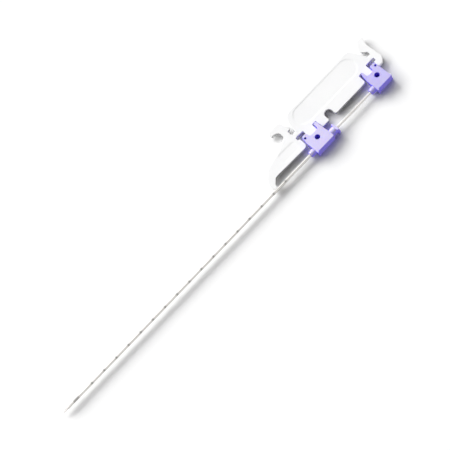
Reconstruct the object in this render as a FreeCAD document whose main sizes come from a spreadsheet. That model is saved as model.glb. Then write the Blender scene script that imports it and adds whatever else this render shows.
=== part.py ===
import FreeCAD, Part
import os
import re
import Sketcher

# Core biopsy needle set as it is sold: a marked cannula and its inner stylet, each
# bonded into a moulded drive hub, and a clip-on carrier plate that holds the two hubs
# at their loading distance. Two sprung levers of the carrier lock the hubs.
# Frame: +X from the needle tip towards the rear hub, +Y from the needle towards the
# thumb pad, +Z up from the table. The origin is the axis of the front hub's drive hole,
# level with the needle. Sizes are in millimetres.

SIZES = [
    # The needle
    ("needle_drop", 3.65, "drive hole axis to needle axis"),
    ("cannula_outer", 1.65, "16 gauge tube"),
    ("cannula_inner", 1.35, "bore of the tube"),
    ("cannula_reach", 201.0, "cannula ahead of the front hub's nose"),
    ("cannula_bevel", 2.6, "length of the ground end of the cannula"),
    ("stylet_outer", 1.26, "diameter of the solid stylet"),
    ("stylet_lead", 3.7, "stylet ahead of the cannula"),
    ("stylet_bevel", 3.4, "length of the ground stylet tip"),
    ("specimen_start", 6.5, "stylet tip to the specimen notch"),
    ("specimen_long", 19.0, "length of the specimen notch"),
    ("specimen_deep", 0.66, "depth of the specimen notch"),
    ("stylet_seat", 3.0, "stylet end behind the rear drive hole"),
    # The two drive hubs
    ("hub_pitch", 50.0, "distance between the two drive holes"),
    ("hub_thick", 5.2, "thickness of both hubs"),
    ("hub_low", 6.85, "drive hole to the hub's long side"),
    ("web_high", 3.7, "drive hole to the floor of the hub's recess"),
    ("ear_high", 7.05, "drive hole to the end of the ear"),
    ("prong_high", 7.65, "drive hole to the end of the prong"),
    ("drive_hole", 3.2, "diameter of the drive holes"),
    ("ear_hole", 1.4, "diameter of the eyelet in each ear"),
    ("ear_hole_high", 4.95, "drive hole to the eyelet, across the needle"),
    ("front_face", 6.95, "front hub ahead of its drive hole"),
    ("front_tail", 6.6, "front hub behind its drive hole"),
    ("front_ear", 4.25, "width of the front hub's ear"),
    ("front_prong", 2.5, "width of the front hub's prong"),
    ("front_ear_hole", 5.2, "eyelet ahead of the front drive hole"),
    ("rear_face", 6.6, "rear hub ahead of its drive hole"),
    ("rear_tail", 5.0, "rear hub behind its drive hole"),
    ("rear_ear", 4.2, "width of the rear hub's ear"),
    ("rear_prong", 2.3, "width of the rear hub's prong"),
    ("rear_ear_hole", 3.7, "eyelet behind the rear drive hole"),
    ("nose_long", 3.45, "nose barrel ahead of each hub"),
    ("nose_wide", 3.9, "diameter of the nose barrel"),
    ("nose_tip", 3.6, "diameter of the nose at its end"),
    ("barrel_long", 3.6, "barrel behind the front hub"),
    ("barrel_wide", 4.8, "diameter of that barrel"),
    ("flange_thick", 1.4, "flange at the barrel's end"),
    ("flange_wide", 7.0, "diameter of the flange"),
    ("funnel_deep", 3.4, "lead-in funnel for the stylet"),
    ("funnel_mouth", 3.4, "diameter of the funnel's mouth"),
    ("rib_thick", 0.9, "rib across the front of each hub"),
    ("rib_stand", 0.7, "rib proud of the hub's long side"),
    ("hub_taper", 0.35, "lean of each hub's rear side"),
    ("hub_lean", 0.9, "lean of each hub's front side above the nose"),
    ("lean_from", 1.5, "drive hole to where that lean starts"),
    ("hub_corner", 0.7, "rounded ends of ear and prong"),
    ("web_corner", 1.3, "rounded corners of the recess"),
    ("hub_edge", 0.3, "small rounded corners of the rib and the jaw"),
    ("hub_bevel", 0.2, "soft edge round the hubs' faces"),
    # The carrier plate
    ("plate_thick", 1.8, "thickness of plate and levers"),
    ("plate_base", 1.3, "plate's underside above the hubs' underside"),
    ("plate_bevel", 0.25, "soft edge round the plate and levers"),
    ("plate_low", 2.9, "lower edge of the plate"),
    ("plate_high", 25.6, "upper edge of the plate"),
    ("hub_gap", 0.25, "play between the plate and a hub"),
    ("slot_rise", 1.2, "prong slot beyond the prong's end"),
    ("lip_corner", 0.6, "small rounded corners of the plate"),
    ("foot_corner", 1.8, "corner ahead of the rear prong"),
    ("notch_place", 15.2, "middle of the notch behind the front hub"),
    ("notch_wide", 5.2, "width of the notch"),
    ("notch_high", 8.9, "round top of the notch"),
    ("notch_mouth", 1.1, "rounded mouth of the notch"),
    ("slit_low", 8.25, "lower side of the slits beside the ears"),
    ("slit_high", 10.35, "upper side of the slits"),
    ("front_brow_x", -2.4, "upper front corner of the plate"),
    ("front_waist_x", -5.3, "front side above the neck"),
    ("front_waist_y", 16.8, "height of that bend"),
    ("front_brow_round", 5.0, "rounding of the upper front corner"),
    ("rear_brow_x", 0.2, "upper rear corner behind the rear hole"),
    ("rear_waist_x", 3.4, "rear side above the neck"),
    ("rear_waist_y", 18.4, "height of that bend"),
    ("rear_brow_round", 3.6, "rounding of the upper rear corner"),
    ("waist_round", 4.0, "soft bend of both sides"),
    ("pad_front", -1.0, "front end of the thumb recess"),
    ("pad_rear", 48.4, "rear end of the thumb recess"),
    ("pad_low", 11.0, "lower side of the thumb recess"),
    ("pad_high", 24.0, "upper side of the thumb recess"),
    ("pad_deep", 0.2, "depth of the recesses"),
    # The flexure necks that carry the levers
    ("neck_high", 11.9, "hinge lines above the drive holes"),
    ("neck_wide", 3.0, "width of the necks"),
    ("neck_gap", 0.1, "clearance round the neck's end"),
    ("neck_wall", 1.13, "plate's side beside the neck"),
    ("front_hinge", 6.7, "front hinge ahead of the front hole"),
    ("rear_hinge", 6.3, "rear hinge behind the rear hole"),
    # The front lever, from the front drive hole
    ("jaw_low", 1.55, "lower end of the front jaw"),
    ("jaw_round", 2.3, "rounded corner of the front jaw"),
    ("key_low", 13.4, "floor of both keyholes"),
    ("key_front_x", -8.4, "far side of the front keyhole"),
    ("key_front_y", 17.1, "ledge of the front keyhole"),
    ("finger_back_x", -6.4, "rear side of the front finger"),
    ("finger_back_y", 19.2, "where it starts to lean"),
    ("finger_top_x", -7.9, "rear corner of the finger's top"),
    ("finger_top_y", 25.6, "top of the front finger"),
    ("curl_x", -16.8, "front of the finger's curl"),
    ("curl_y", 22.0, "tip of the curl"),
    ("curl_in_x", -14.9, "inner side of the curl"),
    ("hollow_x", -12.1, "deepest line of the finger's hollow"),
    ("hollow_top_y", 20.7, "upper bend of the hollow"),
    ("hollow_low_y", 16.3, "lower bend of the hollow"),
    ("hollow_round", 2.3, "rounding of the hollow"),
    ("leaf_root_x", -19.6, "leaf where the hollow starts"),
    ("leaf_root_y", 12.8, "its height"),
    ("leaf_bend_x", -33.0, "upper bend of the leaf"),
    ("leaf_bend_y", 9.5, "its height"),
    ("leaf_end_x", -39.2, "far end of the leaf"),
    ("leaf_end_y", 3.4, "where the end turns down"),
    ("leaf_bend_round", 11.0, "rounding of the upper bend"),
    ("leaf_end_round", 5.0, "rounding of the far end"),
    ("leaf_tip_wide", 2.4, "width of the tip on the needle"),
    ("leaf_tip_short", 0.35, "tip short of the needle's axis"),
    ("leaf_neck_y", -1.2, "inner side of the tip"),
    ("leaf_low_x", -33.2, "inner bend of the leaf"),
    ("leaf_low_y", 2.2, "lower edge of the leaf there"),
    ("leaf_low_round", 2.4, "rounding of the inner bend"),
    ("saddle_gap", 0.2, "play round the needle at the tip"),
    ("panel_front", -23.6, "front end of the leaf's recess"),
    ("panel_rear", -10.6, "rear end of the leaf's recess"),
    ("panel_low", 4.0, "lower side of the leaf's recess"),
    ("panel_high", 10.8, "upper side of the leaf's recess"),
    ("panel_round", 1.6, "corners of the leaf's recess"),
    # The rear lever, from the rear drive hole
    ("slit_end_x", 7.05, "far end of the rear slit"),
    ("heel_low", 4.2, "lower end of the rear jaw"),
    ("heel_x", 8.6, "heel of the rear lever"),
    ("heel_back_x", 11.2, "back of the heel"),
    ("heel_back_y", 7.8, "its height"),
    ("heel_round", 2.4, "rounding of the heel"),
    ("grip_x", 10.4, "hollow of the rear finger"),
    ("grip_y", 19.6, "its height"),
    ("grip_round", 7.0, "rounding of that hollow"),
    ("spur_x", 12.5, "spur at the rear finger's top"),
    ("spur_y", 24.8, "its height"),
    ("rear_top_x", 7.9, "front corner of the rear finger's top"),
    ("rear_nose_x", 4.7, "front bulge of the rear finger"),
    ("rear_nose_y", 20.7, "its height"),
    ("rear_chin_y", 18.3, "lower end of the bulge"),
    ("key_rear_x", 7.6, "far side of the rear keyhole"),
    ("key_rear_y", 15.8, "its height"),
]

doc = FreeCAD.newDocument("biopsy_needle")
sheet = doc.addObject("Spreadsheet::Sheet", "sizes")
for row, (alias, size, note) in enumerate(SIZES, 1):
    sheet.set(f"A{row}", alias)
    sheet.set(f"B{row}", str(size))
    sheet.set(f"C{row}", note)
    sheet.setAlias(f"B{row}", alias)
doc.recompute()


def bound(text):
    """The expression that reads its words from the sheet of sizes."""
    return re.sub(r"[a-z][a-z_]+", lambda word: "sizes." + word.group(), text)


def value(text):
    return float(sheet.evalExpression(re.sub(r"sizes\.", "", bound(text))))


def new_body(name, **place):
    """An empty body with its own label, set at a place along the frame's axes."""
    body = doc.addObject("PartDesign::Body", name)
    body.Label = name
    for axis, text in place.items():
        body.setExpression(f"Placement.Base.{axis}", bound(text))
    return body


def new_sketch(body, name, plane="XY_Plane", **offset):
    """A sketch on one of the body's own planes, moved on it by named sizes."""
    sketch = body.newObject("Sketcher::SketchObject", name)
    origin = [item for item in body.Origin.OriginFeatures if item.Role == plane]
    sketch.AttachmentSupport = [(origin[0], "")]
    sketch.MapMode = "FlatFace"
    for axis, text in offset.items():
        sketch.setExpression(f"AttachmentOffset.Base.{axis}", bound(text))
    return sketch


def pin(sketch, geometry, point, x, y):
    """Fixes a point of the sketch by two sizes from its origin."""
    for kind, text in (("DistanceX", x), ("DistanceY", y)):
        rule = Sketcher.Constraint(kind, -1, 1, geometry, point, value(text))
        number = sketch.addConstraint(rule)
        sketch.setExpression(f"Constraints[{number}]", bound(text))


def add_outline(sketch, corners):
    """Straight sides from corner to corner, closed."""
    spots = [FreeCAD.Vector(value(x), value(y), 0) for x, y, *_ in corners]
    first = sketch.GeometryCount
    for here, there in zip(spots, spots[1:] + spots[:1]):
        sketch.addGeometry(Part.LineSegment(here, there), False)
    for index in range(len(spots)):
        after = first + (index + 1) % len(spots)
        join = Sketcher.Constraint("Coincident", first + index, 2, after, 1)
        sketch.addConstraint(join)
    for index, (x, y, *_) in enumerate(corners):
        pin(sketch, first + index, 1, x, y)


def add_circle(sketch, x, y, diameter):
    centre = FreeCAD.Vector(value(x), value(y), 0)
    radius = value(diameter) / 2
    number = sketch.addGeometry(Part.Circle(centre, FreeCAD.Vector(0, 0, 1), radius), False)
    pin(sketch, number, 3, x, y)
    rule = sketch.addConstraint(Sketcher.Constraint("Diameter", number, 2 * radius))
    sketch.setExpression(f"Constraints[{rule}]", bound(diameter))


def box_corners(low_x, high_x, low_y, high_y, rounding=None):
    return [
        (low_x, low_y, rounding),
        (high_x, low_y, rounding),
        (high_x, high_y, rounding),
        (low_x, high_y, rounding),
    ]


def pad(body, sketch, length, both_ways=False):
    feature = body.newObject("PartDesign::Pad", sketch.Name + "_pad")
    feature.Profile = sketch
    feature.setExpression("Length", bound(length))
    feature.SideType = "Symmetric" if both_ways else "One side"
    sketch.Visibility = False
    doc.recompute()
    return feature


def pocket(body, sketch, length):
    """Removes the sketch's form, with the sketch in the middle of the given length."""
    before = body.Shape.Volume
    feature = body.newObject("PartDesign::Pocket", sketch.Name + "_pocket")
    feature.Profile = sketch
    feature.SideType = "Symmetric"
    feature.setExpression("Length", bound(length))
    sketch.Visibility = False
    doc.recompute()
    if body.Shape.Volume > before - 1e-6:
        raise RuntimeError(f"{sketch.Name} removed nothing")
    return feature


def revolve(body, sketch, kind="Revolution"):
    """A full turn about the sketch's own horizontal axis."""
    feature = body.newObject("PartDesign::" + kind, sketch.Name + "_turned")
    feature.Profile = sketch
    feature.ReferenceAxis = (sketch, ["H_Axis"])
    feature.Angle = 360
    sketch.Visibility = False
    doc.recompute()
    return feature


def dress_edges(body, kind, name, measure, size, wanted):
    """Rounds or bevels the edges of the body's last feature for which wanted(edge) holds."""
    base = body.Tip
    edges = base.Shape.Edges
    names = [f"Edge{number}" for number, edge in enumerate(edges, 1) if wanted(edge)]
    feature = body.newObject("PartDesign::" + kind, name)
    feature.Base = (base, names)
    feature.setExpression(measure, bound(size))
    doc.recompute()


def stands_at(edge, spot):
    """Whether an edge runs straight up at a spot of the plan."""
    box = edge.BoundBox
    near = FreeCAD.Vector(box.XMin, box.YMin, 0).distanceToPoint(spot) < 1e-3
    return near and box.ZLength > 1e-3 and box.XLength + box.YLength < 1e-3


def round_corners(body, name, corners):
    """One fillet for each rounding that the outline's corners ask for."""
    roundings = []
    for x, y, rounding in corners:
        if rounding and rounding not in roundings:
            roundings.append(rounding)
    for number, rounding in enumerate(roundings, 1):
        spots = [
            FreeCAD.Vector(value(x), value(y), 0) for x, y, wish in corners if wish == rounding
        ]
        dress_edges(
            body,
            "Fillet",
            f"{name}_corners_{number}",
            "Radius",
            rounding,
            lambda edge: any(stands_at(edge, spot) for spot in spots),
        )


def bevel_rims(body, name, size, joined_x=None):
    """Softens the edges of the flat top and underside, but not on a joined end."""
    box = body.Tip.Shape.BoundBox
    join = value(joined_x) if joined_x else box.XMin - 1

    def open_rim(edge):
        span = edge.BoundBox
        level = min(abs(span.ZMin - box.ZMin), abs(span.ZMin - box.ZMax)) < 1e-3
        on_join = max(abs(span.XMin - join), abs(span.XMax - join)) < 1e-3
        return level and span.ZLength < 1e-3 and not on_join

    dress_edges(body, "Chamfer", name + "_rims", "Size", size, open_rim)


PLATE_UNDER = "plate_base - hub_thick / 2"


def plate_piece(name, corners, neck_end=None):
    """A flat piece of the carrier, held at mid height between the hubs' faces."""
    body = new_body(name)
    sketch = new_sketch(body, name + "_outline", z=PLATE_UNDER)
    add_outline(sketch, corners)
    pad(body, sketch, "plate_thick")
    round_corners(body, name, corners)
    bevel_rims(body, name, "plate_bevel", neck_end)
    return body


def sink_panel(body, name, corners):
    """A shallow recess in the plate's top with rounded corners."""
    sketch = new_sketch(body, name, z=PLATE_UNDER + " + plate_thick")
    add_outline(sketch, corners)
    pocket(body, sketch, "2 * pad_deep")
    round_corners(body, name, corners)


def turned(body, name, corners, kind="Revolution"):
    """A turned form on the needle's axis, from half of its profile."""
    sketch = new_sketch(body, name, y="-needle_drop")
    add_outline(sketch, corners)
    return revolve(body, sketch, kind)


def round_hole(body, name, x, y, diameter, length, plane="XY_Plane"):
    sketch = new_sketch(body, name, plane)
    add_circle(sketch, x, y, diameter)
    pocket(body, sketch, length)


# The drive hubs: a block with the drive hole, and a recess between an ear and a prong
# that the carrier's tab fills. The front hub's ear leads, the rear hub's ear trails.
def hub_block(name, face, tail, high_front, high_back, wide_front, wide_back, **place):
    body = new_body(name, **place)
    back_of_rib = f"-{face} + rib_thick"
    corners = [
        (f"-{face}", "-hub_low - rib_stand", "hub_edge"),
        (back_of_rib, "-hub_low - rib_stand", "hub_edge"),
        (back_of_rib, "-hub_low", None),
        (f"{tail} + hub_taper", "-hub_low", "hub_corner"),
        (f"{tail} - hub_taper", high_back, "hub_corner"),
        (f"{tail} - {wide_back}", high_back, "hub_corner"),
        (f"{tail} - {wide_back}", "web_high", "web_corner"),
        (f"-{face} + {wide_front}", "web_high", "web_corner"),
        (f"-{face} + {wide_front}", high_front, "hub_corner"),
        (f"-{face} + hub_lean", high_front, "hub_corner"),
        (f"-{face}", "lean_from", "web_corner"),
    ]
    sketch = new_sketch(body, name + "_outline")
    add_outline(sketch, corners)
    pad(body, sketch, "hub_thick", both_ways=True)
    round_corners(body, name, corners)
    bevel_rims(body, name, "hub_bevel")
    nose = [
        (f"-{face} - nose_long", "0", None),
        (f"-{face} + rib_thick", "0", None),
        (f"-{face} + rib_thick", "nose_wide / 2", None),
        (f"-{face} - nose_long / 2", "nose_wide / 2", None),
        (f"-{face} - nose_long", "nose_tip / 2", None),
    ]
    turned(body, name + "_nose", nose)
    round_hole(body, name + "_drive_hole", "0", "0", "drive_hole", "2 * hub_thick")
    return body


front_hub = hub_block(
    "cannula_hub", "front_face", "front_tail", "ear_high", "prong_high", "front_ear", "front_prong"
)
round_hole(
    front_hub, "front_eyelet", "-front_ear_hole", "ear_hole_high", "ear_hole", "2 * hub_thick"
)
barrel_end = "front_tail + barrel_long"
flange_end = "front_tail + barrel_long + flange_thick"
barrel = [
    ("front_tail - rib_thick", "0", None),
    (flange_end, "0", None),
    (flange_end, "flange_wide / 2", None),
    (barrel_end, "flange_wide / 2", None),
    (barrel_end, "barrel_wide / 2", None),
    ("front_tail - rib_thick", "barrel_wide / 2", None),
]
turned(front_hub, "rear_barrel", barrel)

# Two flats on the flange, level with the hub's faces, let the hub lie flat.
flats = new_sketch(front_hub, "flange_flats", "YZ_Plane", z=flange_end)
for side in ("", "-"):
    height = f"{side}hub_thick"
    add_outline(
        flats,
        [
            ("-needle_drop - flange_wide", f"{height} / 2", None),
            ("-needle_drop + flange_wide", f"{height} / 2", None),
            ("-needle_drop + flange_wide", height, None),
            ("-needle_drop - flange_wide", height, None),
        ],
    )
pocket(front_hub, flats, "4 * flange_thick")

# The bore takes the cannula, and a funnel behind it leads the stylet in.
bore = [
    ("-front_face - 2 * nose_long", "0", None),
    (flange_end, "0", None),
    (flange_end, "funnel_mouth / 2", None),
    (f"{flange_end} - funnel_deep", "cannula_outer / 2", None),
    ("-front_face - 2 * nose_long", "cannula_outer / 2", None),
]
turned(front_hub, "cannula_bore", bore, "Groove")

rear_hub = hub_block(
    "stylet_hub",
    "rear_face",
    "rear_tail",
    "prong_high",
    "ear_high",
    "rear_prong",
    "rear_ear",
    x="hub_pitch",
)
round_hole(
    rear_hub, "rear_eyelet", "rear_ear_hole", "ear_hole_high", "ear_hole", "2 * hub_thick"
)
stylet_bore = [
    ("-rear_face - 2 * nose_long", "0", None),
    ("stylet_seat", "0", None),
    ("stylet_seat", "stylet_outer / 2", None),
    ("-rear_face - 2 * nose_long", "stylet_outer / 2", None),
]
turned(rear_hub, "stylet_bore", stylet_bore, "Groove")

# The cannula: a thin tube, ground to a bevel at its end.
cannula = new_body("cannula_tube")
cannula_tip = "-front_face - nose_long - cannula_reach"
cannula_back = f"{flange_end} - funnel_deep"
wall = box_corners(cannula_tip, cannula_back, "cannula_inner / 2", "cannula_outer / 2")
turned(cannula, "cannula_wall", wall)


def grind(body, name, tip, run, low, high):
    """Cuts a slanting end, with its point on the underside."""
    sketch = new_sketch(body, name, "XZ_Plane")
    add_outline(
        sketch,
        [
            (tip, low, None),
            (f"{tip} + {run}", high, None),
            (f"{tip} - {run}", high, None),
            (f"{tip} - {run}", low, None),
        ],
    )
    pocket(body, sketch, "4 * (needle_drop + cannula_outer)")


wall_under = "-cannula_outer / 2"
wall_top = "cannula_outer / 2"
grind(cannula, "cannula_bevel_cut", cannula_tip, "cannula_bevel", wall_under, wall_top)

# The stylet: a solid rod with a ground tip and a long notch that takes the specimen.
stylet = new_body("stylet_rod")
stylet_tip = f"{cannula_tip} - stylet_lead"
rod = box_corners(stylet_tip, "hub_pitch + stylet_seat", "0", "stylet_outer / 2")
turned(stylet, "stylet_round", rod)
rod_under = "-stylet_outer / 2"
rod_top = "stylet_outer / 2"
grind(stylet, "stylet_bevel_cut", stylet_tip, "stylet_bevel", rod_under, rod_top)
specimen = new_sketch(stylet, "specimen_notch", "XZ_Plane")
notch_floor = "stylet_outer / 2 - specimen_deep"
add_outline(
    specimen,
    [
        (f"{stylet_tip} + specimen_start + specimen_deep", notch_floor, None),
        (f"{stylet_tip} + specimen_start + specimen_long - specimen_deep", notch_floor, None),
        (f"{stylet_tip} + specimen_start + specimen_long", "stylet_outer / 2", None),
        (f"{stylet_tip} + specimen_start + specimen_long", "stylet_outer", None),
        (f"{stylet_tip} + specimen_start", "stylet_outer", None),
        (f"{stylet_tip} + specimen_start", "stylet_outer / 2", None),
    ],
)
pocket(stylet, specimen, "4 * (needle_drop + cannula_outer)")

# The carrier plate: tabs reach into the hubs' recesses, slots take their prongs and
# ears, and the sides draw in towards the two necks that carry the levers.
slot_top = "prong_high + slot_rise"
notch_left = "notch_place - notch_wide / 2"
notch_right = "notch_place + notch_wide / 2"
prong_wall = "hub_pitch - rear_face - hub_gap"
rear_tab_left = "hub_pitch - rear_face + rear_prong + hub_gap"
rear_tab_right = "hub_pitch + rear_tail - rear_ear - hub_gap"
rear_neck = "hub_pitch + rear_hinge - neck_wall"
front_neck = "neck_wall - front_hinge"
front_tab_left = "front_ear - front_face + hub_gap"
front_tab_right = "front_tail - front_prong - hub_gap"
carrier_corners = [
    ("front_tail + hub_gap", "plate_low", "lip_corner"),
    (notch_left, "plate_low", "notch_mouth"),
    (notch_left, "notch_high", "0.49 * notch_wide"),
    (notch_right, "notch_high", "0.49 * notch_wide"),
    (notch_right, "plate_low", "notch_mouth"),
    (prong_wall, "plate_low", "foot_corner"),
    (prong_wall, slot_top, "lip_corner"),
    (rear_tab_left, slot_top, "lip_corner"),
    (rear_tab_left, "web_high + hub_gap", "lip_corner"),
    (rear_tab_right, "web_high + hub_gap", "lip_corner"),
    (rear_tab_right, "slit_high", "lip_corner"),
    (rear_neck, "slit_high", None),
    (rear_neck, "key_low", None),
    ("hub_pitch + rear_waist_x", "rear_waist_y", "waist_round"),
    ("hub_pitch + rear_brow_x", "plate_high", "rear_brow_round"),
    ("front_brow_x", "plate_high", "front_brow_round"),
    ("front_waist_x", "front_waist_y", "waist_round"),
    (front_neck, "key_low", None),
    (front_neck, "slit_high", None),
    (front_tab_left, "slit_high", "lip_corner"),
    (front_tab_left, "web_high + hub_gap", "lip_corner"),
    (front_tab_right, "web_high + hub_gap", "lip_corner"),
    (front_tab_right, slot_top, "lip_corner"),
    ("front_tail + hub_gap", slot_top, "lip_corner"),
]
carrier = plate_piece("carrier", carrier_corners)
sink_panel(
    carrier,
    "thumb_recess",
    box_corners("pad_front", "pad_rear", "pad_low", "pad_high", "0.49 * (pad_high - pad_low)"),
)
socket = "neck_wide + 2 * neck_gap"
round_hole(carrier, "front_socket", "-front_hinge", "neck_high", socket, "4 * plate_thick")
round_hole(
    carrier, "rear_socket", "hub_pitch + rear_hinge", "neck_high", socket, "4 * plate_thick"
)


def add_knuckle(body, name, x):
    """The round end of a lever's neck, on its hinge line."""
    sketch = new_sketch(body, name, z=PLATE_UNDER)
    add_circle(sketch, x, "neck_high", "neck_wide")
    pad(body, sketch, "plate_thick")


# The front lever: a jaw on the front hub, a long leaf down to the needle, and a curled
# finger. Squeezing the finger frees the jaw and lifts the leaf's tip off the needle.
jaw_x = "-front_face - hub_gap"
neck_low = "neck_high - neck_wide / 2"
neck_top = "neck_high + neck_wide / 2"
front_corners = [
    (jaw_x, "slit_low", "hub_edge"),
    ("key_front_x", "slit_low", "lip_corner"),
    ("key_front_x", neck_low, "lip_corner"),
    ("-front_hinge", neck_low, None),
    ("-front_hinge", neck_top, None),
    ("key_front_x", neck_top, "lip_corner"),
    ("key_front_x", "key_front_y", "lip_corner"),
    ("finger_back_x", "key_front_y", "lip_corner"),
    ("finger_back_x", "finger_back_y", "notch_mouth"),
    ("finger_top_x", "finger_top_y", "foot_corner"),
    ("curl_x", "finger_top_y", "foot_corner"),
    ("curl_x", "curl_y", "lip_corner"),
    ("curl_in_x", "curl_y", "lip_corner"),
    ("hollow_x", "hollow_top_y", "hollow_round"),
    ("hollow_x", "hollow_low_y", "hollow_round"),
    ("leaf_root_x", "leaf_root_y", "waist_round"),
    ("leaf_bend_x", "leaf_bend_y", "leaf_bend_round"),
    ("leaf_end_x", "leaf_end_y", "leaf_end_round"),
    ("leaf_end_x", "leaf_tip_short - needle_drop", "lip_corner"),
    ("leaf_end_x + leaf_tip_wide", "leaf_tip_short - needle_drop", "lip_corner"),
    ("leaf_end_x + leaf_tip_wide", "leaf_neck_y", "leaf_low_round"),
    ("leaf_low_x", "leaf_low_y", "leaf_low_round"),
    (jaw_x, "jaw_low", "jaw_round"),
]
front_lever = plate_piece("front_lever", front_corners, "-front_hinge")
add_knuckle(front_lever, "front_knuckle", "-front_hinge")
sink_panel(
    front_lever,
    "leaf_recess",
    box_corners("panel_front", "panel_rear", "panel_low", "panel_high", "panel_round"),
)
seat = new_sketch(front_lever, "needle_seat", "YZ_Plane", z="leaf_end_x")
add_circle(seat, "-needle_drop", "0", "cannula_outer + 2 * saddle_gap")
pocket(front_lever, seat, "4 * leaf_tip_wide")

# The rear lever: a jaw on the rear hub and a finger hook, on the mirrored neck.
heel_face = "hub_pitch + rear_tail + hub_gap"
rear_corners = [
    (heel_face, "slit_low", "lip_corner"),
    (heel_face, "heel_low", "lip_corner"),
    ("hub_pitch + heel_x", "heel_low", "heel_round"),
    ("hub_pitch + heel_back_x", "heel_back_y", "heel_round"),
    ("hub_pitch + grip_x", "grip_y", "grip_round"),
    ("hub_pitch + spur_x", "spur_y", "lip_corner"),
    ("hub_pitch + spur_x - lip_corner", "plate_high", "lip_corner"),
    ("hub_pitch + rear_top_x", "plate_high", "foot_corner"),
    ("hub_pitch + rear_nose_x", "rear_nose_y", "notch_mouth"),
    ("hub_pitch + rear_nose_x", "rear_chin_y", "lip_corner"),
    ("hub_pitch + key_rear_x", "key_rear_y", "notch_mouth"),
    ("hub_pitch + key_rear_x", neck_top, "lip_corner"),
    ("hub_pitch + rear_hinge", neck_top, None),
    ("hub_pitch + rear_hinge", neck_low, None),
    ("hub_pitch + slit_end_x", neck_low, "lip_corner"),
    ("hub_pitch + slit_end_x", "slit_low", "lip_corner"),
]
rear_lever = plate_piece("rear_lever", rear_corners, "hub_pitch + rear_hinge")
add_knuckle(rear_lever, "rear_knuckle", "hub_pitch + rear_hinge")

# Nothing is written unless every feature worked and every piece is one sound solid.
doc.recompute()
for item in doc.Objects:
    if "Invalid" in item.State or "Error" in item.State:
        raise RuntimeError(f"{item.Name} failed: {item.State}")
pieces = [item for item in doc.Objects if item.TypeId == "PartDesign::Body"]
for piece in pieces:
    shape = piece.Shape
    if shape.isNull() or not shape.isValid() or len(shape.Solids) != 1:
        raise RuntimeError(f"{piece.Label} is not one valid solid")
os.makedirs("parts", exist_ok=True)
for piece in pieces:
    piece.Shape.exportStep(f"parts/{piece.Label}.step")
    box = piece.Shape.BoundBox
    print(f"{piece.Label}: {piece.Shape.Volume:.1f} mm3, x {box.XMin:.2f} to {box.XMax:.2f}")
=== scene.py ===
import math

import bmesh
import bpy
from mathutils import Matrix, Vector


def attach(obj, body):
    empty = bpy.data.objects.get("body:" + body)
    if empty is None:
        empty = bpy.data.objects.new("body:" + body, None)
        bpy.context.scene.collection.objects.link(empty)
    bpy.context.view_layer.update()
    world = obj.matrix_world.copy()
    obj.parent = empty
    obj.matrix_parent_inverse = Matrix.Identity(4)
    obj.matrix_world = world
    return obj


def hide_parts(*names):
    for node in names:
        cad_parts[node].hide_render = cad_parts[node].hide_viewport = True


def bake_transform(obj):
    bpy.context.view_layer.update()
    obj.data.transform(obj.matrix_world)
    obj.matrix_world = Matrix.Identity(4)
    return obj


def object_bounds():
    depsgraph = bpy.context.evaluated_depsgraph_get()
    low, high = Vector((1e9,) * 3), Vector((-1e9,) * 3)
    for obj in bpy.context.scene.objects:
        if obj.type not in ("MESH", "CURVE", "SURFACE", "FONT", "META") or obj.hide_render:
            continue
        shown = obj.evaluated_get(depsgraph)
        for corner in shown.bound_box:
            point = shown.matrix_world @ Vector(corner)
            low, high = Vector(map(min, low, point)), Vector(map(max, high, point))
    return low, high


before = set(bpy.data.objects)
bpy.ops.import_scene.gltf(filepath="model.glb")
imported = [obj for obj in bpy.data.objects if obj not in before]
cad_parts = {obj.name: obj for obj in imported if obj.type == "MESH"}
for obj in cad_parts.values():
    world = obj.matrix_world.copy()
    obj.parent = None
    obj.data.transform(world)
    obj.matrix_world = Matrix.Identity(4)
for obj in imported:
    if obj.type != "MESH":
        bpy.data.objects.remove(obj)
cad_low, cad_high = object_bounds()
MM = 0.001

# The view. A long lens looks down on the set from its needle side, and the needle
# climbs to the right across the picture. The front hub's nose stands to the right of
# the picture's middle and above it.
looks_from = Vector((-0.131, -0.435, 0.891)).normalized()
needle_slope = math.radians(46.15)
lens_mm = 300
sensor_mm = 36
sight_depth = 20
picture_wide = 257.6 * MM
nose_tip = Vector((-10.4, -3.65, 0)) * MM
nose_right = 48.95 * MM
nose_up = 39.95 * MM
along = Vector((1, 0, 0)) - looks_from.x * looks_from
along.normalize()
across = looks_from.cross(along)
picture_right = along * math.cos(needle_slope) - across * math.sin(needle_slope)
picture_up = along * math.sin(needle_slope) + across * math.cos(needle_slope)
picture_middle = nose_tip - nose_right * picture_right - nose_up * picture_up
bpy.ops.object.camera_add()
camera = bpy.context.object
camera.data.lens = lens_mm
camera.data.sensor_width = sensor_mm
camera.data.clip_end = sight_depth
turn = Matrix((picture_right, picture_up, looks_from)).transposed().to_4x4()
distance = picture_wide * lens_mm / sensor_mm
camera.matrix_world = Matrix.Translation(picture_middle + distance * looks_from) @ turn
bpy.context.scene.camera = camera
bpy.context.scene.view_settings.view_transform = "Standard"

# The light. A broad band of soft lamps stands low behind the carrier and throws the
# soft shadows towards the needle. A weak one, lower still, reaches the front sides,
# and a dim even room fills in from everywhere.
room_lit = 0.02
room_seen = 1.0
# Each lamp's turn to the side, height and width in degrees, and how bright it makes a
# white table top. With the room they add up to about 1.
lamps = [
    (0, 23, 32, 0.38),
    (35, 23, 30, 0.24),
    (-35, 37, 30, 0.14),
    (20, 55, 40, 0.10),
    (75, 26, 28, 0.05),
    (-75, 26, 28, 0.04),
    (180, 3, 4, 0.023),
]
for aside, height, width, share in lamps:
    bpy.ops.object.light_add(type="SUN")
    lamp = bpy.context.object
    lamp.data.angle = math.radians(width)
    lamp.data.energy = share * math.pi / math.sin(math.radians(height))
    lamp.rotation_euler = (math.radians(height - 90), 0, math.radians(aside))


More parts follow.
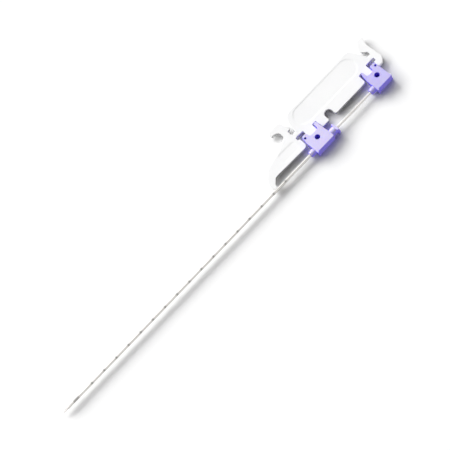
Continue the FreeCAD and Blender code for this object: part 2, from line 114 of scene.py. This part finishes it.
def node_adder(tree):
    """A function that adds a node to the tree, and sets or links its inputs."""

    def add(kind, inputs=(), **settings):
        node = tree.nodes.new("ShaderNode" + kind)
        for setting, choice in settings.items():
            setattr(node, setting, choice)
        for socket, source in dict(inputs).items():
            if hasattr(source, "is_linked"):
                tree.links.new(source, node.inputs[socket])
            else:
                node.inputs[socket].default_value = source
        return node

    return add


def seen_or_lit(add, lit, seen):
    """A level for the light that a surface gives, and another for its own picture."""
    rays = add("LightPath").outputs
    looked_at = rays["Is Camera Ray"]
    for kind in ("Is Glossy Ray", "Is Transmission Ray"):
        either = add("Math", {0: looked_at, 1: rays[kind]}, operation="MAXIMUM")
        looked_at = either.outputs[0]
    return add("MapRange", {"Value": looked_at, "To Min": lit, "To Max": seen}).outputs[0]


world = bpy.data.worlds.new("white_room")
world.use_nodes = True
room = world.node_tree
room_light = room.nodes["Background"]
room_light.inputs["Color"].default_value = (1, 1, 1, 1)
room_level = seen_or_lit(node_adder(room), room_lit, room_seen)
room.links.new(room_level, room_light.inputs["Strength"])
bpy.context.scene.world = world

# The floor: a plain, dull white table top that the two hubs lie on. The camera sees it
# pure white, and it throws less than half of that back on the set.
table_wide = 8
table_lit = 0.45
table_seen = 1.08


def new_material(name, constants):
    """A material with what is the same all over it, and ways to add and feed nodes."""
    material = bpy.data.materials.new(name)
    material.use_nodes = True
    tree = material.node_tree
    shader = tree.nodes["Principled BSDF"]
    for socket, constant in constants.items():
        shader.inputs[socket].default_value = constant

    def feed(socket, source):
        tree.links.new(source, shader.inputs[socket])

    return material, node_adder(tree), feed


bpy.ops.object.select_all(action="DESELECT")
bpy.ops.mesh.primitive_plane_add(size=table_wide, location=(0, 0, cad_low.z))
floor = bpy.context.object
floor.name = "table_top"
table_dull = {"Roughness": 0.9, "Specular IOR Level": 0.0}
table_white, add, feed = new_material("table_white", table_dull)
table_level = seen_or_lit(add, table_lit, table_seen)
table_tone = add("CombineColor", {channel: table_level for channel in range(3)})
feed("Base Color", table_tone.outputs[0])
floor.data.materials.append(table_white)

# The cannula: a drawn stainless tube, ground to a slant at its end, with depth marks
# etched round it every 10 mm and one long band near the tip. It is bonded into the
# front hub.
needle_line = Vector((0, -3.65, 0)) * MM
cannula_radius = 0.825 * MM
cannula_wall = 0.15 * MM
cannula_tip = -211.4 * MM
cannula_back = 8.2 * MM
cannula_slant = 2.6 * MM
first_ring = 15 * MM
last_ring = 185 * MM
ring_pitch = 10 * MM
ring_half = 0.5 * MM
ring_tone = 0.17
band_start = 5.0 * MM
band_end = 9.3 * MM
band_tone = 0.26
mark_rough = 0.65
steel_green = 0.975
steel_blue = 0.94
grind_lines = (9000, 500, 500)


def between(add, value, low, high):
    """1 where the value lies between the two limits, 0 elsewhere."""
    above = add("Math", {0: value, 1: low}, operation="GREATER_THAN").outputs[0]
    below = add("Math", {0: value, 1: high}, operation="LESS_THAN").outputs[0]
    return add("Math", {0: above, 1: below}, operation="MULTIPLY").outputs[0]


def needle_steel(name, etched):
    """Ground stainless steel with fine lines round the needle, and the etched marks."""
    material, add, feed = new_material(name, {"Metallic": 1.0})
    place = add("TexCoord").outputs["Object"]
    lines = add("Mapping", {"Vector": place, "Scale": grind_lines}).outputs[0]
    grind = add("TexNoise", {"Vector": lines, "Scale": 1.0, "Detail": 3.0}).outputs["Fac"]
    tone = add("MapRange", {"Value": grind, "To Min": 0.36, "To Max": 0.45}).outputs[0]
    matt = add("MapRange", {"Value": grind, "To Min": 0.52, "To Max": 0.62}).outputs[0]
    if etched:
        lengthwise = add("SeparateXYZ", {0: place}).outputs["X"]
        inwards = add("Math", {0: lengthwise, 1: cannula_tip}, operation="SUBTRACT").outputs[0]
        fold = add("Math", {0: inwards, 1: ring_pitch / 2}, operation="PINGPONG").outputs[0]
        near = add("Math", {0: fold, 1: ring_half}, operation="LESS_THAN").outputs[0]
        zone = between(add, inwards, first_ring, last_ring)
        rings = add("Math", {0: near, 1: zone}, operation="MULTIPLY").outputs[0]
        band = between(add, inwards, band_start, band_end)
        marks = add("Math", {0: rings, 1: band}, operation="MAXIMUM").outputs[0]
        tone = add("Mix", {0: rings, 2: tone, 3: ring_tone}).outputs[0]
        tone = add("Mix", {0: band, 2: tone, 3: band_tone}).outputs[0]
        matt = add("Mix", {0: marks, 2: matt, 3: mark_rough}).outputs[0]
    green = add("Math", {0: tone, 1: steel_green}, operation="MULTIPLY").outputs[0]
    blue = add("Math", {0: tone, 1: steel_blue}, operation="MULTIPLY").outputs[0]
    feed("Base Color", add("CombineColor", {0: tone, 1: green, 2: blue}).outputs[0])
    feed("Roughness", matt)
    ridges = add("Bump", {"Strength": 0.15, "Distance": 0.00001, "Height": grind}).outputs[0]
    feed("Normal", ridges)
    return material


def pick(piece):
    """Selects one piece alone."""
    bpy.ops.object.select_all(action="DESELECT")
    piece.select_set(True)
    bpy.context.view_layer.objects.active = piece


def edit(piece):
    """Goes to work on one piece alone, with nothing of it selected."""
    pick(piece)
    bpy.ops.object.mode_set(mode="EDIT")
    bpy.ops.mesh.select_all(action="DESELECT")


def leave_edit():
    bpy.ops.object.mode_set(mode="OBJECT")


def choose(piece, kind, wanted):
    """In edit mode, selects the vertices, edges or faces that are wanted, and no others."""
    modes = {"verts": "VERT", "edges": "EDGE", "faces": "FACE"}
    bpy.ops.mesh.select_mode(type=modes[kind])
    bpy.ops.mesh.select_all(action="DESELECT")
    mesh = bmesh.from_edit_mesh(piece.data)
    for item in getattr(mesh, kind):
        if wanted(item):
            item.select_set(True)
    bmesh.update_edit_mesh(piece.data)


def new_rod(name, radius, start, end, sides=64, caps="NGON"):
    """A round rod or an open tube along the needle's line."""
    bpy.ops.object.select_all(action="DESELECT")
    bpy.ops.mesh.primitive_cylinder_add(
        vertices=sides,
        radius=radius,
        depth=end - start,
        end_fill_type=caps,
        location=needle_line + Vector(((start + end) / 2, 0, 0)),
        rotation=(0, math.radians(90), 0),
    )
    rod = bpy.context.object
    rod.name = name
    rod.data.name = name
    bpy.ops.object.transform_apply(location=True, rotation=True, scale=True)
    return rod


def apply_modifier(piece, kind, **settings):
    pick(piece)
    modifier = piece.modifiers.new(kind.lower(), kind)
    for setting, choice in settings.items():
        setattr(modifier, setting, choice)
    bpy.ops.object.modifier_apply(modifier=modifier.name)


def carve(piece, tool, operation="DIFFERENCE"):
    """Takes a tool's form out of a piece, or joins the two, and clears the tool away."""
    apply_modifier(piece, "BOOLEAN", object=tool, operation=operation, solver="MANIFOLD")
    bpy.data.objects.remove(tool)


def grind_off(piece, point, outwards):
    """Grinds a flat at the point, with nothing left on its outer side near there."""
    stone = 10 * MM
    outwards = Vector(outwards).normalized()
    bpy.ops.object.select_all(action="DESELECT")
    bpy.ops.mesh.primitive_cube_add(
        size=stone,
        location=Vector(point) + outwards * stone / 2,
        rotation=outwards.to_track_quat("Z", "Y").to_euler(),
    )
    wheel = bpy.context.object
    bpy.ops.object.transform_apply(location=True, rotation=True, scale=True)
    carve(piece, wheel)


def smooth(piece):
    """Soft shading on round faces, with flat faces left flat and true corners sharp."""
    true_corner = math.radians(32)
    pick(piece)
    bpy.ops.object.shade_smooth_by_angle(angle=true_corner)
    apply_modifier(piece, "WEIGHTED_NORMAL", keep_sharp=True)


def finish_piece(piece, material, body, node=None):
    """Dresses a piece, and says what it rides on and the node it stands for."""
    piece.data.materials.clear()
    piece.data.materials.append(material)
    if body:
        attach(piece, body)
    if node:
        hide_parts(node)


cannula = new_rod("cannula", cannula_radius, cannula_tip, cannula_back, caps="NOTHING")
apply_modifier(cannula, "SOLIDIFY", thickness=cannula_wall, offset=-1.0)
slant_point = needle_line + Vector((cannula_tip, 0, -cannula_radius))
grind_off(cannula, slant_point, (-2 * cannula_radius, 0, cannula_slant))
smooth(cannula)
etched_steel = needle_steel("etched_cannula_steel", True)
finish_piece(cannula, etched_steel, "root", "cannula_tube")

# The stylet: a solid stainless rod that fills the cannula. Its end is ground to a slant
# and then to a lancet point, and behind it lies the notch that takes the specimen.
stylet_radius = 0.63 * MM
stylet_tip = -215.1 * MM
stylet_back = 53.0 * MM
stylet_slant = 3.4 * MM
lancet_long = 1.5 * MM
lancet_rise = 0.4 * lancet_long
notch_start = 6.5 * MM
notch_long = 19.0 * MM
notch_floor = -0.03 * MM
notch_wide = 4 * stylet_radius
notch_open = 2 * stylet_radius
notch_round = 0.5 * stylet_radius

stylet = new_rod("stylet", stylet_radius, stylet_tip, stylet_back, sides=48)
slant_point = needle_line + Vector((stylet_tip, 0, -stylet_radius))
grind_off(stylet, slant_point, (-2 * stylet_radius, 0, stylet_slant))
for side in (-1, 1):
    grind_off(stylet, slant_point, (-stylet_radius, side * lancet_long, lancet_rise))
bpy.ops.object.select_all(action="DESELECT")
bpy.ops.mesh.primitive_cube_add(size=1)
notch_cutter = bpy.context.object
notch_cutter.scale = (notch_long, notch_wide, notch_open)
notch_middle = (stylet_tip + notch_start + notch_long / 2, 0, notch_floor + notch_open / 2)
notch_cutter.location = needle_line + Vector(notch_middle)
bpy.ops.object.transform_apply(location=True, rotation=True, scale=True)
edit(notch_cutter)
choose(notch_cutter, "edges", lambda e: abs(e.verts[0].co.y - e.verts[1].co.y) > MM)
bpy.ops.mesh.bevel(offset=notch_round, segments=6, affect="EDGES")
leave_edit()
carve(stylet, notch_cutter)
smooth(stylet)
finish_piece(stylet, needle_steel("stylet_steel", False), "root", "stylet_rod")

# The two drive hubs: purple plastic moulded round the needle's ends. Each is a block
# with a through hole for the instrument's drive pin, and a recess between an ear and
# a prong. They are satin and let some light through, which lights their shaded sides a
# little; the deeper violet of their walls is painted shade.
hub_half = 2.6 * MM
hub_rim = 0.22 * MM
drive_radius = 1.6 * MM
drive_lead = 0.15 * MM
eyelet_radius = 0.7 * MM
eyelet_lead = 0.1 * MM
eyelet_high = 4.95 * MM
# These follow the hubs' outline, in millimetres; the line of the drive holes is at 0.
hub_low = -6.85
hub_draft = 0.35
rib_low = -7.55
rib_thick = 0.9
rib_round = 0.3
web_high = 3.7
web_round = 1.3
ear_high = 7.05
prong_high = 7.65
arm_round = 0.7
face_high = 1.5
face_lean = 0.9
nose_long = 3.45
nose_taper = 1.7
nose_radius = 1.95
nose_end_radius = 1.8
nose_root = 0.6


def clouded(add, place, scale, one, other):
    """Two tones of a plastic that lie cloudily beside each other."""
    cloud = add("TexNoise", {"Vector": place, "Scale": scale, "Detail": 3.0}).outputs["Fac"]
    return add("Mix", {0: cloud, 6: one, 7: other}, data_type="RGBA").outputs[2]


def mould_skin(add, feed, place, scale, detail, rough, strength):
    """The fine grain that a mould leaves, in the sheen and in the surface."""
    low, high = rough
    fine = {"Vector": place, "Scale": scale, "Detail": detail}
    grain = add("TexNoise", fine).outputs["Fac"]
    matt = add("MapRange", {"Value": grain, "To Min": low, "To Max": high}).outputs[0]
    feed("Roughness", matt)
    skin = add("Bump", {"Strength": strength, "Distance": 0.00002, "Height": grain})
    feed("Normal", skin.outputs[0])


def hub_plastic(name, full, pale):
    """Two tones of the plastic lie cloudily on the flat faces; the walls and steep curves are
    painted a deeper violet, as painted shade.
    """
    through = {
        "IOR": 1.5,
        "Specular IOR Level": 0.3,
        "Subsurface Weight": 0.5,
        "Subsurface Scale": 0.0006,
        "Subsurface Radius": (0.2, 0.15, 1.0),
    }
    material, add, feed = new_material(name, through)
    place = add("TexCoord").outputs["Object"]
    face = clouded(add, place, scale=700.0, one=full, other=pale)
    # Painted shade: faces steeper than about 60 degrees take the deeper violet, flat faces take
    # the clouded tone, and curves blend between the two.
    painted_shade_violet = (0.28, 0.23, 0.90, 1)
    upright = add("SeparateXYZ", {0: add("TexCoord").outputs["Normal"]}).outputs["Z"]
    level = add("Math", {0: upright}, operation="ABSOLUTE").outputs[0]
    flatness = add("MapRange", {"Value": level, "From Min": 0.5, "From Max": 1.0}).outputs[0]
    face_or_painted_shade = add("Mix", {0: flatness, 6: painted_shade_violet, 7: face}, data_type="RGBA").outputs[2]
    feed("Base Color", face_or_painted_shade)
    rough = (0.62, 0.74)
    mould_skin(add, feed, place, scale=2600.0, detail=3.0, rough=rough, strength=0.12)
    return material


# Two points closer than touching, in metres, are the same point. A face looks along an
# axis where that part of its normal is over facing.
touching = 1e-7
facing = 0.9


def draw_line(name, corners, closed):
    """A line from corner to corner; each corner is a point and its rounding or 0."""
    arc_step = 9
    bpy.ops.object.select_all(action="DESELECT")
    points = [Vector(point) for point, rounding in corners]
    # A small plane, merged to one point, starts the line.
    bpy.ops.mesh.primitive_plane_add(size=MM, location=points[0])
    piece = bpy.context.object
    piece.name = name
    piece.data.name = name
    bpy.ops.object.transform_apply(location=True)
    bpy.ops.object.mode_set(mode="EDIT")
    bpy.ops.mesh.select_mode(type="VERT")
    bpy.ops.mesh.select_all(action="SELECT")
    bpy.ops.mesh.merge(type="CENTER")
    for here, there in zip(points, points[1:]):
        bpy.ops.mesh.extrude_vertices_move(TRANSFORM_OT_translate={"value": there - here})
    if closed:
        ends = (points[0], points[-1])
        choose(piece, "verts", lambda v: min((v.co - end).length for end in ends) < touching)
        bpy.ops.mesh.edge_face_add()
    for number, corner in enumerate(points):
        rounding = corners[number][1]
        if not rounding:
            continue
        back = (points[number - 1] - corner).normalized()
        ahead = (points[(number + 1) % len(points)] - corner).normalized()
        opening = back.angle(ahead)
        reach = rounding / math.tan(opening / 2)
        choose(piece, "verts", lambda v: (v.co - corner).length < touching)
        steps = max(3, round(math.degrees(math.pi - opening) / arc_step))
        bpy.ops.mesh.bevel(offset=reach, segments=steps, affect="VERTICES", clamp_overlap=False)
    bpy.ops.mesh.select_mode(type="VERT")
    bpy.ops.mesh.select_all(action="SELECT")
    return piece


def close_shape():
    """Turns every face outwards and leaves edit mode."""
    bpy.ops.mesh.select_all(action="SELECT")
    bpy.ops.mesh.normals_make_consistent(inside=False)
    leave_edit()


def cut_block(name, corners, low, high, rim):
    """A flat block with rounded rims; a corner is x, y and its rounding, in millimetres."""
    outline = [((x * MM, y * MM, low), rounding * MM) for x, y, rounding in corners]
    block = draw_line(name, outline, closed=True)
    bpy.ops.mesh.edge_face_add()
    rise = {"value": (0, 0, high - low)}
    bpy.ops.mesh.extrude_region_move(TRANSFORM_OT_translate=rise)
    close_shape()
    if rim:
        true_rim = {"limit_method": "ANGLE", "angle_limit": math.radians(50)}
        apply_modifier(block, "BEVEL", width=rim, segments=4, **true_rim)
    return block


def turn_piece(name, profile):
    """A turned form on the needle's line; a corner is x, radius and its rounding, in mm."""
    line = [
        (needle_line + Vector((x, 0, radius)) * MM, rounding * MM)
        for x, radius, rounding in profile
    ]
    piece = draw_line(name, line, closed=False)
    full_turn = math.radians(360)
    bpy.ops.mesh.spin(steps=96, angle=full_turn, center=needle_line, axis=(1, 0, 0))
    bpy.ops.mesh.select_all(action="SELECT")
    bpy.ops.mesh.remove_doubles(threshold=1e-6)
    close_shape()
    return piece


def drill(hub, x, y, radius, lead):
    """A round hole straight through a hub, with a small lead-in at both ends."""
    bpy.ops.object.select_all(action="DESELECT")
    depth = 2 * (hub_half - lead)
    bpy.ops.mesh.primitive_cylinder_add(
        vertices=72,
        radius=radius,
        depth=depth,
        location=(x, y, 0),
    )
    bit = bpy.context.object
    bpy.ops.object.transform_apply(location=True)
    edit(bit)
    flare = 2 * lead
    grow = (radius + flare) / radius
    for end in (-1, 1):
        rim_level = end * (depth / 2 + flare)
        choose(bit, "faces", lambda f: end * f.normal.z > facing)
        bpy.ops.mesh.extrude_region_move(TRANSFORM_OT_translate={"value": (0, 0, end * flare)})
        bpy.ops.transform.resize(value=(grow, grow, 1), center_override=(x, y, rim_level))
    close_shape()
    carve(hub, bit)


def mould_hub(name, x, face, tail, front_arm, back_arm):
    """A hub from its face ahead of the drive hole at x to its tail behind it, all in mm.

    Each of its arms is a height and a width.
    """
    front_high, front_wide = front_arm
    back_high, back_wide = back_arm
    face_x = x - face
    tail_x = x + tail
    corners = [
        (face_x, rib_low, rib_round),
        (face_x + rib_thick, rib_low, rib_round),
        (face_x + rib_thick, hub_low, 0),
        (tail_x + hub_draft, hub_low, arm_round),
        (tail_x - hub_draft, back_high, arm_round),
        (tail_x - back_wide, back_high, arm_round),
        (tail_x - back_wide, web_high, web_round),
        (face_x + front_wide, web_high, web_round),
        (face_x + front_wide, front_high, arm_round),
        (face_x + face_lean, front_high, arm_round),
        (face_x, face_high, web_round),
    ]
    hub = cut_block(name, corners, -hub_half, hub_half, hub_rim)
    nose = [
        (face_x - nose_long, 0, 0),
        (face_x - nose_long, nose_end_radius, 0.25),
        (face_x - nose_taper, nose_radius, 0.3),
        (face_x + nose_root, nose_radius, 0),
        (face_x + nose_root, 0, 0),
    ]
    carve(hub, turn_piece(name + "_nose", nose), "UNION")
    drill(hub, x * MM, 0, drive_radius, drive_lead)
    return hub


# The front hub, on the cannula. Its ear leads and its prong trails. Its rear barrel ends
# in a flange, and both are flat at the block's faces. In the flange a funnel leads the
# stylet in.
front_purple = hub_plastic("front_purple", (0.66, 0.61, 0.95, 1), (0.74, 0.69, 0.97, 1))
front_hub = mould_hub(
    "front_hub",
    x=0.0,
    face=6.95,
    tail=6.6,
    front_arm=(ear_high, 4.25),
    back_arm=(prong_high, 2.5),
)
barrel = [
    (5.8, 0, 0),
    (5.8, 2.4, 0),
    (10.2, 2.4, 0.2),
    (10.2, 3.5, 0.3),
    (11.6, 3.5, 0.3),
    (11.6, 0, 0),
]
barrel_middle = 8.7 * MM
rear_barrel = turn_piece("rear_barrel", barrel)
for side in (-1, 1):
    flat_middle = needle_line + Vector((barrel_middle, 0, side * hub_half))
    grind_off(rear_barrel, flat_middle, (0, 0, side))
carve(front_hub, rear_barrel, "UNION")
# The bore starts ahead of the nose. The cannula ends in it, and the funnel follows.
cannula_bore = [
    (-12.0, 0, 0),
    (-12.0, 0.845, 0),
    (8.2, 0.845, 0),
    (11.4, 1.6, 0.3),
    (12.0, 2.0, 0),
    (12.0, 0, 0),
]
carve(front_hub, turn_piece("cannula_bore", cannula_bore))
front_eyelet = -5.2 * MM
drill(front_hub, front_eyelet, eyelet_high, eyelet_radius, eyelet_lead)
smooth(front_hub)
finish_piece(front_hub, front_purple, "root", "cannula_hub")

# The rear hub carries the stylet. Its prong leads and its ear trails. Its plastic is
# painted a shade deeper than the front hub's, as painted shade; the real plastic is the same.
hub_pitch = 50.0
rear_purple_painted_shade = hub_plastic("rear_purple_painted_shade", (0.56, 0.52, 0.90, 1), (0.63, 0.58, 0.92, 1))
rear_hub = mould_hub(
    "rear_hub",
    x=hub_pitch,
    face=6.6,
    tail=5.0,
    front_arm=(prong_high, 2.3),
    back_arm=(ear_high, 4.2),
)
stylet_bore = [
    (hub_pitch - 12.0, 0, 0),
    (hub_pitch - 12.0, 0.65, 0),
    (53.05, 0.65, 0),
    (53.05, 0, 0),
]
carve(rear_hub, turn_piece("stylet_bore", stylet_bore))
rear_eyelet = (hub_pitch + 3.7) * MM
drill(rear_hub, rear_eyelet, eyelet_high, eyelet_radius, eyelet_lead)
smooth(rear_hub)
finish_piece(rear_hub, rear_purple_painted_shade, "root", "stylet_hub")

# The carrier: a thin white plate, moulded with a broad thumb recess. Its tabs reach
# into the hubs' recesses and its slots take their prongs and ears.
plate_under = -1.3 * MM
plate_top = 0.5 * MM
plate_rim = 0.3 * MM
recess_deep = 0.17 * MM
recess_step = 0.03 * MM
recess_slope = 1.1 * MM
# These follow the plate's outline, in millimetres.
plate_low = 2.9
plate_high = 25.6
tab_low = 3.95
slot_top = 8.85
slit_top = 10.35
front_edge = -5.57
rear_edge = 55.17
neck_low = 10.4
neck_top = 13.4
front_hinge = -6.7
rear_hinge = 56.3


def plate_plastic(name, cool, warm):
    """Opaque white plastic with a low sheen, faintly clouded from cool to warm."""
    dense = {
        "IOR": 1.48,
        "Subsurface Weight": 0.2,
        "Subsurface Scale": 0.0002,
        "Subsurface Radius": (1.0, 1.0, 1.0),
    }
    material, add, feed = new_material(name, dense)
    place = add("TexCoord").outputs["Object"]
    feed("Base Color", clouded(add, place, scale=90.0, one=cool, other=warm))
    rough = (0.42, 0.55)
    mould_skin(add, feed, place, scale=3200.0, detail=2.0, rough=rough, strength=0.2)
    return material


white = plate_plastic("carrier_white", (0.915, 0.92, 0.925, 1), (0.935, 0.935, 0.93, 1))


def sink(piece, name, corners):
    """A shallow recess in a plate's top face, whose sides slope softly to its floor."""
    tool = cut_block(name, corners, plate_top - recess_step, plate_top + recess_deep, 0)
    edit(tool)
    choose(tool, "faces", lambda f: f.normal.z < -facing)
    bpy.ops.mesh.inset(thickness=recess_slope, depth=recess_deep - recess_step)
    leave_edit()
    carve(piece, tool)


carrier_outline = [
    (6.85, plate_low, 0.6),
    (12.6, plate_low, 1.1),
    (12.6, 8.9, 2.55),
    (17.8, 8.9, 2.55),
    (17.8, plate_low, 1.1),
    (43.15, plate_low, 1.8),
    (43.15, slot_top, 0.6),
    (45.95, slot_top, 0.6),
    (45.95, tab_low, 0.6),
    (50.55, tab_low, 0.6),
    (50.55, slit_top, 0.6),
    (rear_edge, slit_top, 0),
    (rear_edge, neck_top, 0),
    (53.4, 18.4, 4.0),
    (50.2, plate_high, 3.6),
    (-2.4, plate_high, 5.0),
    (-5.3, 16.8, 4.0),
    (front_edge, neck_top, 0),
    (front_edge, slit_top, 0),
    (-2.45, slit_top, 0.6),
    (-2.45, tab_low, 0.6),
    (3.85, tab_low, 0.6),
    (3.85, slot_top, 0.6),
    (6.85, slot_top, 0.6),
]
carrier = cut_block("carrier_plate", carrier_outline, plate_under, plate_top, plate_rim)
thumb_recess = [
    (-1.0, 11.0, 6.45),
    (48.4, 11.0, 6.45),
    (48.4, 24.0, 6.45),
    (-1.0, 24.0, 6.45),
]
sink(carrier, "thumb_recess", thumb_recess)
smooth(carrier)
finish_piece(carrier, white, "root", "carrier")

# The front lever: a jaw on the front hub, a long leaf down to the needle and a curled
# finger, moulded in one with the carrier. The leaf's end is a saddle on the needle.
saddle_radius = 1.025 * MM
saddle_start = -41 * MM
saddle_end = -35 * MM
front_outline = [
    (-7.2, 8.25, 0),
    (-8.4, 8.25, 0.6),
    (-8.4, neck_low, 0.6),
    (front_hinge, neck_low, 0),
    (front_hinge, neck_top, 0),
    (-8.4, neck_top, 0.6),
    (-8.4, 17.1, 0.6),
    (-6.4, 17.1, 0.6),
    (-6.4, 19.2, 1.1),
    (-7.9, plate_high, 1.8),
    (-16.8, plate_high, 1.8),
    (-16.8, 22.0, 0.6),
    (-14.9, 22.0, 0.6),
    (-12.1, 20.7, 2.3),
    (-12.1, 16.3, 2.3),
    (-19.6, 12.8, 4.0),
    (-33.0, 9.5, 11.0),
    (-39.2, 3.4, 5.0),
    (-39.2, -3.3, 0.6),
    (-36.8, -3.3, 0.6),
    (-36.8, -1.2, 2.4),
    (-33.2, 2.2, 2.4),
    (-7.2, 1.55, 2.3),
]
front_lever = cut_block("front_lever_leaf", front_outline, plate_under, plate_top, plate_rim)
leaf_recess = [
    (-23.6, 4.0, 1.6),
    (-10.6, 4.0, 1.6),
    (-10.6, 10.8, 1.6),
    (-23.6, 10.8, 1.6),
]
sink(front_lever, "leaf_recess", leaf_recess)
carve(front_lever, new_rod("saddle", saddle_radius, saddle_start, saddle_end))
smooth(front_lever)
finish_piece(front_lever, white, "front_lever", "front_lever")

# The rear lever: a jaw on the rear hub and a finger hook, of the same white plastic and
# moulded in one with the carrier.
rear_outline = [
    (55.25, 8.25, 0.6),
    (55.25, 4.2, 0.6),
    (58.6, 4.2, 2.4),
    (61.2, 7.8, 2.4),
    (60.4, 19.6, 7.0),
    (62.5, 24.8, 0.6),
    (61.9, plate_high, 0.6),
    (57.9, plate_high, 1.8),
    (54.7, 20.7, 1.1),
    (54.7, 18.3, 0.6),
    (57.6, 15.8, 1.1),
    (57.6, neck_top, 0.6),
    (rear_hinge, neck_top, 0),
    (rear_hinge, neck_low, 0),
    (57.05, neck_low, 0.6),
    (57.05, 8.25, 0.6),
]
rear_lever = cut_block("rear_lever_hook", rear_outline, plate_under, plate_top, plate_rim)
smooth(rear_lever)
finish_piece(rear_lever, white, "rear_lever", "rear_lever")

# The two necks: short strips of the same moulding that join the levers to the plate
# and bend when a lever is squeezed. Their ends lie inside the plate and the lever.
neck_inset = 0.01
neck_steps = 16


def mould_neck(name, strip):
    """A strip from one end to the other along x, cut crosswise in even steps between two places
    on it.
    """
    left, right = min(strip), max(strip)
    low, top = neck_low + neck_inset, neck_top - neck_inset
    corners = [(left, low, 0), (right, low, 0), (right, top, 0), (left, top, 0)]
    inset = neck_inset * MM
    neck = cut_block(name, corners, plate_under + inset, plate_top - inset, plate_rim)
    edit(neck)
    for step in range(1, neck_steps):
        x = strip[0] + (strip[1] - strip[0]) * step / neck_steps
        bpy.ops.mesh.select_all(action="SELECT")
        bpy.ops.mesh.bisect(plane_co=(x * MM, 0, 0), plane_no=(1, 0, 0))
    leave_edit()
    smooth(neck)
    finish_piece(neck, white, None)
    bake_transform(neck)


mould_neck("front_neck", (-4.9, -8.0))
mould_neck("rear_neck", (54.5, 57.0))
